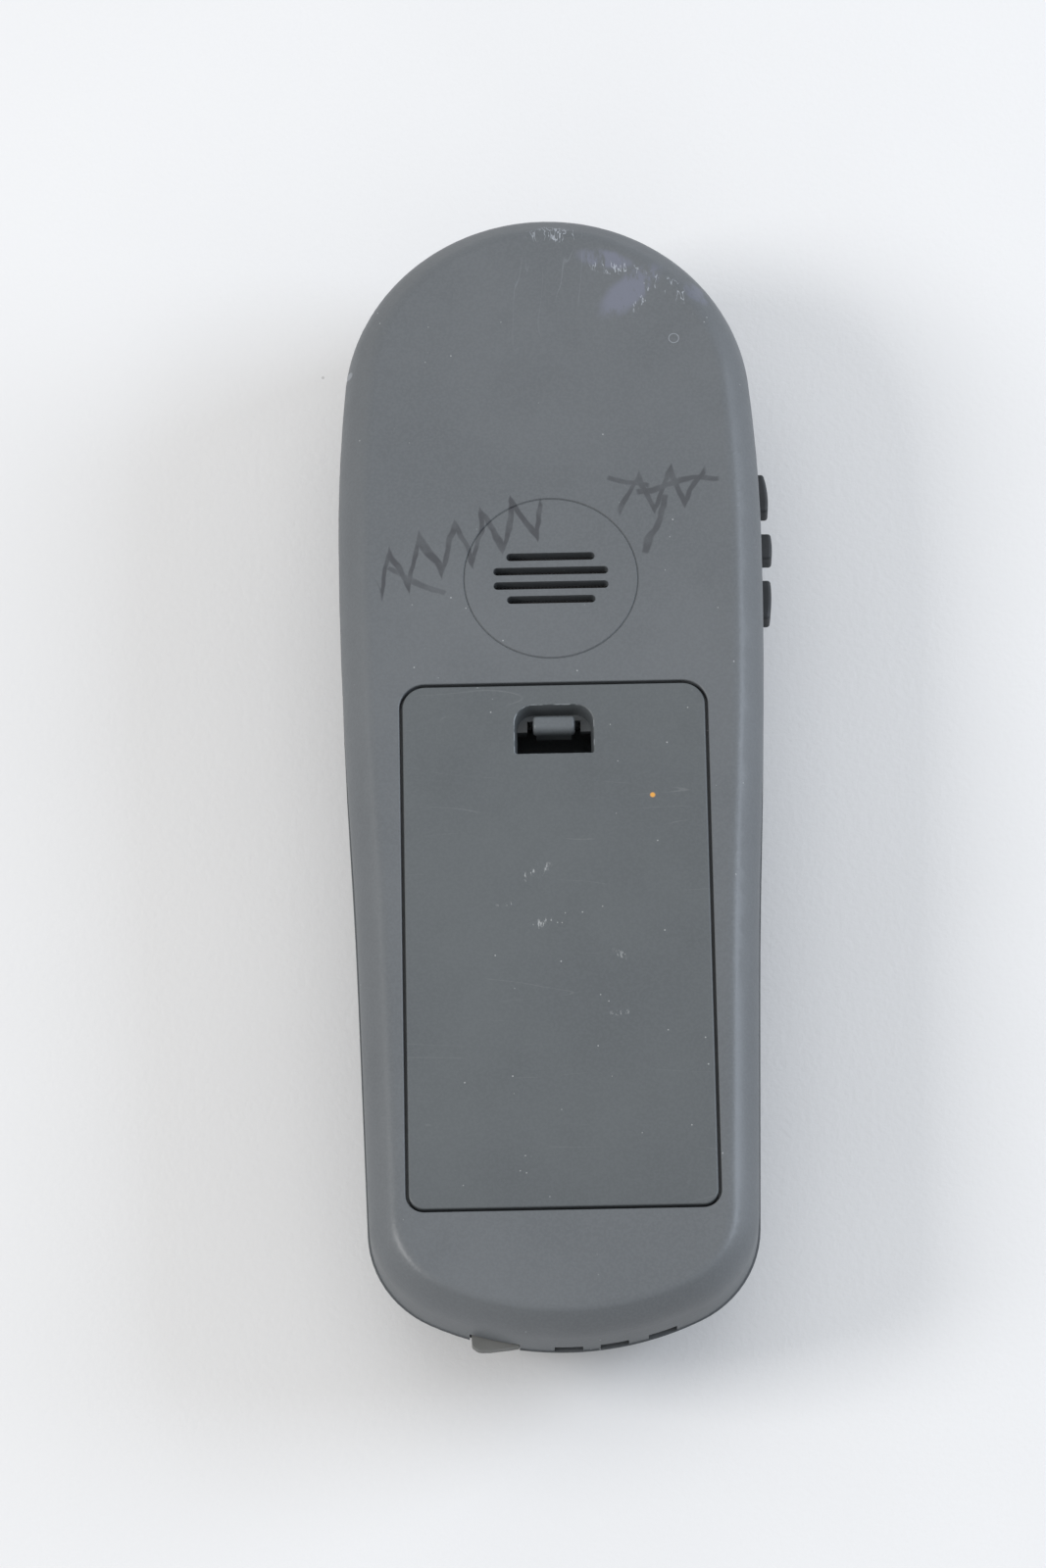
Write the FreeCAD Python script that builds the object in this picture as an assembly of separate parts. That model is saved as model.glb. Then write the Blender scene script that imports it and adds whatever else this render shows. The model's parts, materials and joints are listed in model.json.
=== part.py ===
import FreeCAD, Part
import math
import os
from FreeCAD import Vector

# Cordless telephone handset, lying on its face with its back up.
# Millimetres. +Z is out of the back, +Y is the earpiece end, +X is the side that carries the side keys.
# The origin is on the table, under the middle of the handset.

# ---- driving dimensions ---------------------------------------------------------------------------
LENGTH = 158.4            # over the two ends
WIDTH = 56.25             # at the widest place, without the side keys
DEPTH = 27.0              # table to the flat of the back
SEAM = 16.5               # height of the joint between the two shells
WALL = 1.8                # shell walls
WIDEST_Y = 31.8           # where the width is greatest
TOP_R = 27.15             # the earpiece end is very nearly a half circle
CORNER_R = 14.0
END_R = 40.0
WAIST_SLOPE = 0.028       # the sides still draw in by this much towards the charging end

CROWN_LOW_R = 5.0         # rounding from the side wall into the sloping shoulder
CROWN_HIGH_R = 2.5        # rounding from the shoulder into the flat of the back
CROWN_FLAT = 1.2          # straight part of the shoulder
CROWN_ANGLE = 42.0        # of the shoulder above the horizontal
CROWN_END_SHARE = 0.66    # the shoulder is narrower at the charging end

FACE_SAG = 3.0            # the face is hollowed lengthwise by this much
FACE_HALF = 54.0          # half the length of the hollow
FACE_MID_Y = -3.2
FACE_TURN_Z = 3.2         # the face's edge starts to round off here
FACE_SIDE_IN = 2.2        # draft of the front shell at that height, sides
FACE_END_IN = 6.0         # and at the charging end

DOOR_HALF_W = 19.85
DOOR_TOP = 9.4
DOOR_BOTTOM = -63.2
DOOR_GAP = 0.4
DOOR_T = 1.6
DOOR_TOP_R = 3.0
DOOR_BOTTOM_R = 2.0
TAB_X = (-12.0, 12.0)
TAB_W = 5.0

BAY_HALF_W = 19.0
BAY_TOP = 8.4
BAY_BOTTOM = -62.4
BAY_FLOOR = 13.6
BAY_FLOOR_T = 1.0
BAY_WALL = 1.2

POCKET_HALF_W = 5.2
POCKET_TOP = 6.6
POCKET_BOTTOM = -0.3
POCKET_R = 2.6
POCKET_FLOOR = 24.4
POCKET_FLOOR_END = 3.75
LATCH_SLOT_TOP = 5.3
LATCH_HALF_W = 2.75        # of the finger bar

RING_Y = 24.75
RING_R = 11.5
SLOT_PITCH = 2.06
SLOT_H = 1.1
SLOT_HALF = (5.85, 7.6, 7.6, 5.85)

# name: (low y, high y, how far it stands out, radius of its bow, where that is fullest)
SIDE_KEYS = {
    "side_key_upper": (37.8, 43.3, 1.33, 14.0, 39.4),
    "side_key_middle": (30.9, 34.6, 1.5, 12.0, 32.6),
    "side_key_lower": (22.2, 27.8, 1.25, 20.0, 25.8),
}
SIDE_KEY_H = 3.4
SIDE_CLEAR = 0.3

CHARGE_X = (0.3, 6.2, 12.4)
CHARGE_W = 3.65
CHARGE_LOW = SEAM
CHARGE_HIGH = 18.1
JACK_X = -9.2
JACK_W = 6.4
JACK_LOW = 13.6
JACK_HIGH = 18.2
JACK_Z = 15.8
JACK_R = 1.25             # a 2.5 mm headset plug
COVER_PIVOT = Vector(-5.95, -78.95, 0)
COVER_DRAFT = 0.42        # the cover leans in like the front shell, per mm of height

BOARD_LOW = 9.2
BOARD_T = 1.6
BOARD_HIGH = BOARD_LOW + BOARD_T
MAT_LOW = 8.2

COLUMNS = (14.6, 0.0, -14.6)
ROWS = (-9.7, -21.2, -32.7, -44.2)
DIAL_NAMES = ("1", "2", "3", "4", "5", "6", "7", "8", "9", "star", "0", "hash")
KEY_OUT = 0.8             # keys stand out of the face by this much
KEY_CLEAR = 0.25
FLANGE = 0.6              # a key's flange is this much wider all round
POST_GAP = 0.75           # from a key's post to the rubber sheet
DIAL_KEY = (10.8, 7.0, 3.2)      # width, height, corner radius
CALL_KEY = (12.0, 8.0, 3.6)
SOFT_KEY = (12.0, 6.4, 3.0)
SCROLL_KEY = (9.0, 17.0, 4.4)
CALL_Y = 5.3
SOFT_Y = 16.8
SCROLL_Y = 11.3

LENS_Y = 38.3
LENS_W = 38.0
LENS_H = 24.0
LENS_R = 3.5
VIEW_W = 32.0
VIEW_H = 17.0
EAR_Y = 63.8
LED_Y = 53.8
MIC_Y = -64.2

SCREWS = ((-14.5, -59.2), (14.5, -59.2), (-14.5, -2.45), (14.5, -2.45))
SCREW_R = 1.1
BOSS_R = 2.8

REAR = {"waist_r": 700.0, "waist_y": -9.2, "hollow_r": 700.0, "end_y": -LENGTH / 2}
FRONT = {"waist_r": 850.0, "waist_y": -11.2, "hollow_r": 900.0, "end_y": -LENGTH / 2 - 0.2}


# ---- plain solids ---------------------------------------------------------------------------------
def box(x0, x1, y0, y1, z0, z1):
    return Part.makeBox(x1 - x0, y1 - y0, z1 - z0, Vector(x0, y0, z0))


def rod(x, y, z0, z1, r):
    return Part.makeCylinder(r, z1 - z0, Vector(x, y, z0))


def rod_y(x, z, y0, y1, r):
    return Part.makeCylinder(r, y1 - y0, Vector(x, y0, z), Vector(0, 1, 0))


def rounded_wire(w, h, z, radii, x=0.0, y=0.0):
    """Rectangle w by h about x, y with corner radii (right-top, left-top, left-bottom, right-bottom)."""
    corners = ((1, 1, 0), (-1, 1, 90), (-1, -1, 180), (1, -1, 270))
    edges = []
    ends = []
    for (sx, sy, turn), r in zip(corners, radii):
        centre = Vector(x + sx * (w / 2 - r), y + sy * (h / 2 - r), z)
        points = []
        for part in (0, 45, 90):
            a = math.radians(turn + part)
            points.append(centre + Vector(r * math.cos(a), r * math.sin(a), 0))
        ends.append((points[0], points[2]))
        edges.append(Part.Arc(*points).toShape())
    wire = []
    for k in range(4):
        wire.append(edges[k])
        a = ends[k][1]
        b = ends[(k + 1) % 4][0]
        if a.distanceToPoint(b) > 1e-6:
            wire.append(Part.LineSegment(a, b).toShape())
    return Part.Wire(wire)


def rounded_prism(w, h, z0, z1, r, x=0.0, y=0.0):
    radii = r if isinstance(r, tuple) else (r, r, r, r)
    face = Part.Face(rounded_wire(w, h, z0, radii, x, y))
    return face.extrude(Vector(0, 0, z1 - z0))


def edges_at(shape, z, tolerance=0.01):
    """The edges that lie wholly in the plane at height z."""
    return [e for e in shape.Edges
            if abs(e.BoundBox.ZMin - z) < tolerance and abs(e.BoundBox.ZMax - z) < tolerance]


def fuse(first, *others):
    joined = first
    for shape in others:
        joined = joined.fuse(shape)
    return joined.removeSplitter()


# ---- the outline in plan --------------------------------------------------------------------------
def on_circle(centre, r, angle):
    return (centre[0] + r * math.cos(angle), centre[1] + r * math.sin(angle))


def half_outline(shape, inset, end_inset):
    """The right half of the outline, from the top to the charging end, as triples of points on each arc."""
    half_w = WIDTH / 2
    top_c = (0.0, LENGTH / 2 - TOP_R)
    rise = top_c[1] - WIDEST_Y
    flank_r = (half_w ** 2 + rise ** 2 - TOP_R ** 2) / (2 * (half_w - TOP_R))
    flank_c = (half_w - flank_r, WIDEST_Y)
    a1 = math.asin(rise / (flank_r - TOP_R))
    waist_r = shape["waist_r"]
    hollow_r = shape["hollow_r"]
    waist_c = (half_w - waist_r, WIDEST_Y)
    a2 = math.asin((WIDEST_Y - shape["waist_y"]) / waist_r)
    a3 = math.atan(WAIST_SLOPE)
    hollow_c = on_circle(waist_c, waist_r + hollow_r, -a2)
    side = on_circle(hollow_c, -hollow_r, -a3)
    # The corner's circle touches the straight side and the end's circle.
    end_c = (0.0, shape["end_y"] + end_inset + END_R - inset)
    normal = (math.cos(a3), -math.sin(a3))
    along = (-math.sin(a3), -math.cos(a3))
    start = (side[0] - CORNER_R * normal[0] - end_c[0], side[1] - CORNER_R * normal[1] - end_c[1])
    b = start[0] * along[0] + start[1] * along[1]
    c = start[0] ** 2 + start[1] ** 2 - (END_R - CORNER_R) ** 2
    t = -b + math.sqrt(b * b - c)
    corner_c = (start[0] + t * along[0] + end_c[0], start[1] + t * along[1] + end_c[1])
    a4 = -math.atan2(corner_c[1] - end_c[1], corner_c[0] - end_c[0])
    arcs = [
        (top_c, TOP_R - inset, math.pi / 2, a1),
        (flank_c, flank_r - inset, a1, 0.0),
        (waist_c, waist_r - inset, 0.0, -a2),
        (hollow_c, -(hollow_r + inset), -a2, -a3),
        (corner_c, CORNER_R - inset, -a3, -a4),
        (end_c, END_R - inset, -a4, -math.pi / 2),
    ]
    return [[on_circle(c, r, a) for a in (p, (p + q) / 2, q)] for c, r, p, q in arcs]


def outline(shape, z, inset=0.0, end_inset=None):
    """The closed outline at height z, drawn in by inset all round, and by end_inset at the charging end."""
    right = half_outline(shape, inset, inset if end_inset is None else end_inset)
    right.insert(4, [right[3][2], right[4][0]])
    left = [[(-x, y) for x, y in reversed(points)] for points in reversed(right)]
    edges = []
    for points in right + left:
        at = [Vector(x, y, z) for x, y in points]
        edges.append(Part.Arc(*at).toShape() if len(at) == 3 else Part.LineSegment(*at).toShape())
    return Part.Wire(edges)


def loft(shape, sections, ruled=True):
    """A solid through the outline at each (height, inset, end inset)."""
    return Part.makeLoft([outline(shape, *s) for s in sections], True, ruled)


def crown_sections():
    """Heights and insets of the rear shell's shoulder: round, straight, round, up to the flat back."""
    angle = math.radians(CROWN_ANGLE)
    turn = math.pi / 2 - angle
    steps = 5
    points = []
    for k in range(steps + 1):
        a = turn * k / steps
        points.append((CROWN_LOW_R * (1 - math.cos(a)), CROWN_LOW_R * math.sin(a)))
    inset, height = points[-1]
    inset += CROWN_FLAT * math.cos(angle)
    height += CROWN_FLAT * math.sin(angle)
    centre = (inset + CROWN_HIGH_R * math.sin(angle), height - CROWN_HIGH_R * math.cos(angle))
    for k in range(steps + 1):
        a = angle * (1 - k / steps)
        points.append((centre[0] - CROWN_HIGH_R * math.sin(a), centre[1] + CROWN_HIGH_R * math.cos(a)))
    base = DEPTH - points[-1][1]
    return [(base + h, i, CROWN_END_SHARE * i) for i, h in points]


def face_sections():
    """Heights and insets of the front shell: drafted down from the seam, then rounded into the face."""
    drop = SEAM - FACE_TURN_Z
    sections = []
    steps = 6
    for k in range(steps + 1):
        z = FACE_TURN_Z * (1 - math.sin(math.pi / 2 * k / steps))
        row = [z]
        for draft in (FACE_SIDE_IN, FACE_END_IN):
            tilt = math.atan(draft / drop)
            r = FACE_TURN_Z / (1 - math.sin(tilt))
            turned = math.asin(min(1.0, math.sin(tilt) + (FACE_TURN_Z - z) / r))
            row.append(draft + r * (math.cos(tilt) - math.cos(turned)))
        sections.append(tuple(row))
    return sections


def hollow_cylinder(offset):
    """Cylinder across the handset whose top is the hollowed face, moved into the handset by offset."""
    r = (FACE_HALF ** 2 + FACE_SAG ** 2) / (2 * FACE_SAG)
    return Part.makeCylinder(r + offset, WIDTH * 2, Vector(-WIDTH, FACE_MID_Y, FACE_SAG - r), Vector(1, 0, 0))


def face_z(y):
    """Height of the face at y."""
    r = (FACE_HALF ** 2 + FACE_SAG ** 2) / (2 * FACE_SAG)
    reach = min(abs(y - FACE_MID_Y), FACE_HALF)
    return FACE_SAG - r + math.sqrt(r * r - reach ** 2)


def side_x(y):
    """Where the side wall is at y, in the stretch that carries the side keys."""
    rise = LENGTH / 2 - TOP_R - WIDEST_Y
    flank_r = ((WIDTH / 2) ** 2 + rise ** 2 - TOP_R ** 2) / (2 * (WIDTH / 2 - TOP_R))
    r = flank_r if y > WIDEST_Y else REAR["waist_r"]
    return WIDTH / 2 - r + math.sqrt(r * r - (y - WIDEST_Y) ** 2)


def end_wall_y(x):
    """Where the charging end's wall is at x, at the seam."""
    return -LENGTH / 2 + END_R - math.sqrt(END_R ** 2 - x * x)


# ---- openings shared by the two shells ------------------------------------------------------------
def side_key_windows():
    half_h = SIDE_KEY_H / 2 + SIDE_CLEAR
    return [box(20.0, 32.0, low - SIDE_CLEAR, high + SIDE_CLEAR, SEAM - half_h, SEAM + half_h)
            for low, high, *_ in SIDE_KEYS.values()]


def end_windows():
    deep = LENGTH / 2 - 6
    windows = [box(x - CHARGE_W / 2, x + CHARGE_W / 2, -LENGTH / 2 - 3, -deep, CHARGE_LOW, CHARGE_HIGH)
               for x in CHARGE_X]
    windows.append(box(JACK_X - JACK_W / 2, JACK_X + JACK_W / 2, -LENGTH / 2 - 3, -deep, JACK_LOW, JACK_HIGH))
    return windows


# ---- shells ---------------------------------------------------------------------------------------
def door_opening(z0, z1, grow=0.0):
    w = 2 * (DOOR_HALF_W + grow)
    h = DOOR_TOP - DOOR_BOTTOM + 2 * grow
    top_r = DOOR_TOP_R + grow
    low_r = DOOR_BOTTOM_R + grow
    return rounded_prism(w, h, z0, z1, (top_r, top_r, low_r, low_r), 0, (DOOR_TOP + DOOR_BOTTOM) / 2)


def ring_groove():
    half = 0.16
    depth = 0.16
    points = [Vector(RING_R - half, RING_Y, DEPTH + 0.01), Vector(RING_R, RING_Y, DEPTH - depth),
              Vector(RING_R + half, RING_Y, DEPTH + 0.01), Vector(RING_R - half, RING_Y, DEPTH + 0.01)]
    face = Part.Face(Part.makePolygon(points))
    return face.revolve(Vector(0, RING_Y, 0), Vector(0, 0, 1), 360)


def rear_shell():
    crown = crown_sections()
    wall_top = crown[0][0]
    outer = fuse(Part.Face(outline(REAR, SEAM)).extrude(Vector(0, 0, wall_top - SEAM)),
                 loft(REAR, crown, ruled=False))
    inside_top = DEPTH - WALL
    shoulder = crown[-1][1]
    cavity = loft(REAR, [(SEAM - 1, WALL, WALL), (wall_top - 0.4, WALL, WALL),
                         (inside_top, WALL + shoulder - 0.2, WALL + CROWN_END_SHARE * shoulder)])
    bay = box(-BAY_HALF_W - BAY_WALL, BAY_HALF_W + BAY_WALL, BAY_BOTTOM - 3.0, BAY_TOP + BAY_WALL,
              BAY_FLOOR - BAY_FLOOR_T, DEPTH - DOOR_T)
    speaker_seat = rod(0, RING_Y, 21.0, inside_top + 0.2, 11.6).cut(rod(0, RING_Y, 20, 30, 10.5))
    shell = fuse(outer.cut(cavity), bay, speaker_seat)
    cuts = [door_opening(DEPTH - DOOR_T, DEPTH + 1, DOOR_GAP),
            box(-BAY_HALF_W, BAY_HALF_W, BAY_BOTTOM, BAY_TOP, BAY_FLOOR, DEPTH),
            ring_groove()]
    for x in TAB_X:
        half = TAB_W / 2 + 0.3
        cuts.append(box(x - half, x + half, BAY_BOTTOM - 2.4, BAY_BOTTOM + 1, 22.8, DEPTH - 0.9))
    cuts.append(box(-4.0, 4.0, BAY_TOP - 1, BAY_TOP + BAY_WALL + 1, 21.9, 24.0))
    for k, half in enumerate(SLOT_HALF):
        y = RING_Y + (1.5 - k) * SLOT_PITCH
        cuts.append(rounded_prism(2 * half, SLOT_H, DEPTH - 4, DEPTH + 1, SLOT_H / 2 - 0.001, 0, y))
    for x, y in SCREWS:
        cuts.append(rod(x, y, 10, BAY_FLOOR + 1, SCREW_R + 0.2))
    cuts += side_key_windows() + end_windows()
    shell = shell.cut(Part.makeCompound(cuts))
    rim = [e for e in edges_at(shell, DEPTH) if e.BoundBox.YMin > DOOR_BOTTOM - 1.5
           and e.BoundBox.YMax < DOOR_TOP + 1.5 and abs(e.CenterOfMass.x) < DOOR_HALF_W + 1]
    return shell.makeFillet(0.2, rim)


def earpiece_slots():
    return [rounded_prism(w, 1.2, -2, 8, 0.59, 0, EAR_Y + dy)
            for w, dy in ((6.5, 4.2), (11.0, 2.1), (12.5, 0.0), (11.0, -2.1), (6.5, -4.2))]


def key_places():
    """Every key of the face: name: (x, y, size)."""
    places = {}
    for k, name in enumerate(DIAL_NAMES):
        places["key_" + name] = (COLUMNS[k % 3], ROWS[k // 3], DIAL_KEY)
    places["talk_key"] = (COLUMNS[0], CALL_Y, CALL_KEY)
    places["end_call_key"] = (COLUMNS[2], CALL_Y, CALL_KEY)
    places["left_soft_key"] = (COLUMNS[0], SOFT_Y, SOFT_KEY)
    places["right_soft_key"] = (COLUMNS[2], SOFT_Y, SOFT_KEY)
    places["scroll_key"] = (0.0, SCROLL_Y, SCROLL_KEY)
    return places


def front_shell():
    rounding = face_sections()
    outer = fuse(loft(FRONT, [(SEAM, 0.0, 0.0), rounding[0]]), loft(FRONT, rounding, ruled=False))
    outer = outer.cut(hollow_cylinder(0.0))
    low = WALL
    cavity = loft(FRONT, [(SEAM + 1, WALL, WALL), (SEAM, WALL, WALL),
                          (low, WALL + FACE_SIDE_IN + 1.0, WALL + FACE_END_IN + 1.6)])
    cavity = cavity.cut(hollow_cylinder(WALL))
    shell = outer.cut(cavity)
    bosses = [rod(x, y, face_z(y) + 0.5, BAY_FLOOR - BAY_FLOOR_T - 0.2, BOSS_R) for x, y in SCREWS]
    shell = fuse(shell, *bosses)
    cuts = [rod(x, y, 5.0, 20, SCREW_R + 0.05) for x, y in SCREWS]
    cuts += earpiece_slots()
    ear_dish = Part.makeSphere(60.0, Vector(0, EAR_Y, -59.3))
    cuts.append(ear_dish)
    cuts.append(rod(0, LED_Y, -1, 8, 1.05))
    cuts.append(rod(0, MIC_Y, -1, 8, 0.7))
    lens_prism = rounded_prism(LENS_W + 0.3, LENS_H + 0.3, -3, 12, LENS_R + 0.15, 0, LENS_Y)
    cuts.append(lens_prism.common(hollow_cylinder(1.2)))
    cuts.append(rounded_prism(VIEW_W, VIEW_H, -3, 12, 1.5, 0, LENS_Y))
    for x, y, (w, h, r) in key_places().values():
        cuts.append(rounded_prism(w + 2 * KEY_CLEAR, h + 2 * KEY_CLEAR, -3, 7.5, r + KEY_CLEAR, x, y))
    cuts += side_key_windows() + end_windows()
    return shell.cut(Part.makeCompound(cuts))


# ---- battery door and its latch -------------------------------------------------------------------
def battery_door():
    plate = door_opening(DEPTH - DOOR_T, DEPTH)
    plate = plate.makeFillet(0.25, edges_at(plate, DEPTH))
    pocket_h = POCKET_TOP - POCKET_BOTTOM
    mid = (POCKET_TOP + POCKET_BOTTOM) / 2
    dish = rounded_prism(2 * POCKET_HALF_W + 2.4, pocket_h + 2.4, POCKET_FLOOR - 0.7, DEPTH - 0.5,
                         (3.6, 3.6, 0.8, 0.8), 0, mid)
    tabs = [box(x - TAB_W / 2, x + TAB_W / 2, DOOR_BOTTOM - 1.2, DOOR_BOTTOM + 3, DEPTH - 2.2, DEPTH - 1.2)
            for x in TAB_X]
    rails = []
    for side in (-1, 1):
        x0, x1 = sorted((side * 3.6, side * 4.8))
        lip0, lip1 = sorted((side * 2.8, side * 4.8))
        rails.append(box(x0, x1, 4.4, 7.7, 21.5, POCKET_FLOOR - 0.6))
        rails.append(box(lip0, lip1, 4.4, 7.7, 21.5, 22.1))
    rib_z = DEPTH - DOOR_T
    ribs = [box(x - 0.5, x + 0.5, -59.0, -3.0, rib_z - 0.4, rib_z + 0.1) for x in (-18.3, 18.3)]
    door = fuse(plate, dish, *tabs, *rails, *ribs)
    # The pocket's walls lean in a little towards its floor.
    lean_side = 0.35
    lean_top = 0.5
    mouth = rounded_wire(2 * POCKET_HALF_W, pocket_h, DEPTH + 0.001, (POCKET_R, POCKET_R, 0.3, 0.3), 0, mid)
    floor = rounded_wire(2 * (POCKET_HALF_W - lean_side), pocket_h - lean_top, POCKET_FLOOR,
                         (POCKET_R - 0.4, POCKET_R - 0.4, 0.3, 0.3), 0, mid - lean_top / 2)
    pocket = Part.makeLoft([mouth, floor], True, True)
    well_half = POCKET_HALF_W - lean_side
    well = box(-well_half, well_half, POCKET_BOTTOM, POCKET_FLOOR_END, 20, DEPTH + 0.5)
    slot = box(-3.5, 3.5, POCKET_FLOOR_END - 0.1, LATCH_SLOT_TOP, 20, DEPTH - 0.9)
    door = door.cut(Part.makeCompound([pocket, well, slot]))
    mouth_edges = [e for e in edges_at(door, DEPTH) if abs(e.CenterOfMass.x) < POCKET_HALF_W + 0.1
                   and POCKET_BOTTOM + 0.5 < e.CenterOfMass.y < POCKET_TOP + 0.1]
    return door.makeFillet(0.2, mouth_edges)


def door_latch():
    """Finger bar in the door's pocket, on a plate that slides under it and ends in the nose."""
    bar = box(-LATCH_HALF_W, LATCH_HALF_W, 3.2, 5.45, POCKET_FLOOR + 0.15, 26.0)
    front = [e for e in bar.Edges if e.CenterOfMass.y < 3.25 and e.CenterOfMass.z > 25.9]
    bar = bar.makeFillet(1.0, front)
    bar = bar.makeFillet(0.45, [e for e in bar.Edges if e.CenterOfMass.z > 25.0])
    neck = box(-2.3, 2.3, 3.5, LATCH_SLOT_TOP - 0.25, 22.3, POCKET_FLOOR + 0.5)
    plate = box(-3.2, 3.2, 5.4, 7.1, 22.25, 23.55)
    stalk = box(-2.3, 2.3, 3.5, 5.5, 22.25, 23.55)
    tip = BAY_TOP - 0.5
    nose = box(-2.3, 2.3, 7.0, tip, 22.25, 23.55)
    lead_in = Part.makeBox(8, 3, 3, Vector(-4, tip, 22.25))
    lead_in.rotate(Vector(0, tip, 22.25), Vector(1, 0, 0), 35)
    return fuse(bar, neck, stalk, plate, nose).cut(lead_in)


# ---- keys -----------------------------------------------------------------------------------------
def face_key(x, y, size, stem=2.0):
    w, h, r = size
    top = face_z(y)
    seat = max(face_z(y - h / 2 - FLANGE), face_z(y + h / 2 + FLANGE)) + WALL + 0.2
    cap = rounded_prism(w, h, top - KEY_OUT, seat + 0.1, r, x, y)
    cap = cap.makeFillet(0.65, edges_at(cap, top - KEY_OUT))
    flange = rounded_prism(w + 2 * FLANGE, h + 2 * FLANGE, seat, seat + 0.7, r + FLANGE, x, y)
    post = rod(x, y, seat + 0.5, MAT_LOW - POST_GAP, stem)
    return fuse(cap, flange, post)


def scroll_key():
    w, h, r = SCROLL_KEY
    top = face_z(SCROLL_Y)
    cap = rounded_prism(w, h, top - KEY_OUT, top + 2.1, r, 0, SCROLL_Y)
    cap = cap.makeFillet(0.65, edges_at(cap, top - KEY_OUT))
    hollow = Part.makeCylinder(14, 40, Vector(-20, SCROLL_Y, top - KEY_OUT - 13.45), Vector(1, 0, 0))
    flange = rounded_prism(w + 1.2, h + 1.2, top + 2.75, top + 3.3, r + 0.6, 0, SCROLL_Y)
    neck = rounded_prism(w - 1.0, h - 2.0, top + 1.9, top + 2.9, r - 0.7, 0, SCROLL_Y)
    posts = [rod(0, SCROLL_Y + dy, top + 3.1, MAT_LOW - POST_GAP, 1.3) for dy in (-5.5, 5.5)]
    return fuse(cap.cut(hollow), neck, flange, *posts)


def key_mat():
    """Rubber sheet under the keys, with a dome below every post."""
    sheet = rounded_prism(40.4, 74.0, MAT_LOW, BOARD_LOW - 0.05, 3.0, 0, -13.7)
    domes = []
    for name, (x, y, _) in key_places().items():
        spots = (y - 5.5, y + 5.5) if name == "scroll_key" else (y,)
        domes += [rod(x, spot, MAT_LOW - 0.05, MAT_LOW + 0.3, 2.6) for spot in spots]
    holes = [rod(x, y, 5, 12, BOSS_R + 0.4) for x, y in SCREWS if y > -50]
    return fuse(sheet, *domes).cut(Part.makeCompound(holes))


def side_key(name):
    """A key whose outer face bows out, on a flange that stays inside the case."""
    low, high, out, bow, fullest = SIDE_KEYS[name]
    wall = side_x((low + high) / 2)
    z0 = SEAM - SIDE_KEY_H / 2
    z1 = SEAM + SIDE_KEY_H / 2
    cap = box(24.8, wall + out, low, high, z0, z1)
    cap = cap.common(Part.makeCylinder(bow, 40, Vector(wall + out - bow, fullest, 0)))
    outer = [e for e in cap.Edges if e.CenterOfMass.x > wall - 1.2]
    cap = cap.makeFillet(0.45, outer)
    edge = 0.8
    inside = min(side_x(low - edge), side_x(high + edge)) - WALL - 0.9
    flange = box(24.8, inside, low - edge, high + edge, z0 - 0.7, z1 + 0.7)
    return fuse(cap, flange)


def side_key_pad():
    strip = box(23.3, 24.1, 20.5, 45.0, SEAM - 3.0, SEAM + 3.0)
    domes = [Part.makeCylinder(1.4, 0.2, Vector(24.0, (low + high) / 2, SEAM), Vector(1, 0, 0))
             for low, high, *_ in SIDE_KEYS.values()]
    return fuse(strip, *domes)


def side_key_board():
    return box(22.3, 23.25, 19.5, 46.0, BOARD_HIGH + 0.1, SEAM + 3.0)


# ---- display, sound and board ---------------------------------------------------------------------
def display_lens():
    blank = rounded_prism(LENS_W, LENS_H, -3, 12, LENS_R, 0, LENS_Y)
    return blank.common(hollow_cylinder(1.15)).cut(hollow_cylinder(0.05))


def display_panel():
    return rounded_prism(VIEW_W + 3, VIEW_H + 3, 4.6, 6.2, 0.6, 0, LENS_Y)


def display_frame():
    outer = rounded_prism(VIEW_W + 5.4, VIEW_H + 5.4, 4.3, BOARD_LOW - 0.1, 1.6, 0, LENS_Y)
    pocket = rounded_prism(VIEW_W + 3.2, VIEW_H + 3.2, 4.0, 6.3, 0.7, 0, LENS_Y)
    return outer.cut(pocket)


def main_board():
    plate = rounded_prism(43.0, 120.0, BOARD_LOW, BOARD_HIGH, 8.0, 0, -7.2)
    holes = [rod(x, y, 5, 20, BOSS_R + 0.3) for x, y in SCREWS]
    return plate.cut(Part.makeCompound(holes))


def board_chips():
    places = ((-9, 36, 12, 12, 1.4), (9, 36, 9, 9, 1.2), (-8, 20, 8, 6, 1.0), (-10, -20, 14, 10, 1.2),
              (10, -16, 8, 12, 1.0), (10, -40, 10, 6, 1.1), (-9, -44, 6, 6, 1.0))
    chips = [box(x - w / 2, x + w / 2, y - h / 2, y + h / 2, BOARD_HIGH + 0.02, BOARD_HIGH + t)
             for x, y, w, h, t in places]
    return Part.makeCompound(chips)


def radio_shield():
    can = rounded_prism(30.0, 8.0, BOARD_HIGH + 0.02, BOARD_HIGH + 3.2, 0.8, 0, 47.6)
    return can.cut(rounded_prism(29.4, 7.4, BOARD_HIGH, BOARD_HIGH + 2.9, 0.5, 0, 47.6))


def antenna():
    """Bent metal strip that stands on the board's end and folds over under the back."""
    foot = box(-14, 14, 47.0, 51.5, 15.0, 15.4)
    rise = box(-14, 14, 51.1, 51.5, 15.0, 21.0)
    roof = box(-14, 14, 51.1, 66.0, 20.6, 21.0)
    slots = [box(x, x + 1.2, 54.0, 66.5, 20, 22) for x in (-9, -4, 1, 6)]
    post = box(-1, 1, 47.0, 48.0, BOARD_HIGH + 3.25, 15.1)
    return fuse(foot, rise, roof, post).cut(Part.makeCompound(slots))


def ringer_speaker():
    can = rod(0, RING_Y, 20.6, 23.6, 9.0)
    basket = rod(0, RING_Y, 23.5, 24.4, 10.3)
    magnet = rod(0, RING_Y, 18.4, 20.7, 5.5)
    return fuse(basket, can, magnet)


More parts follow.
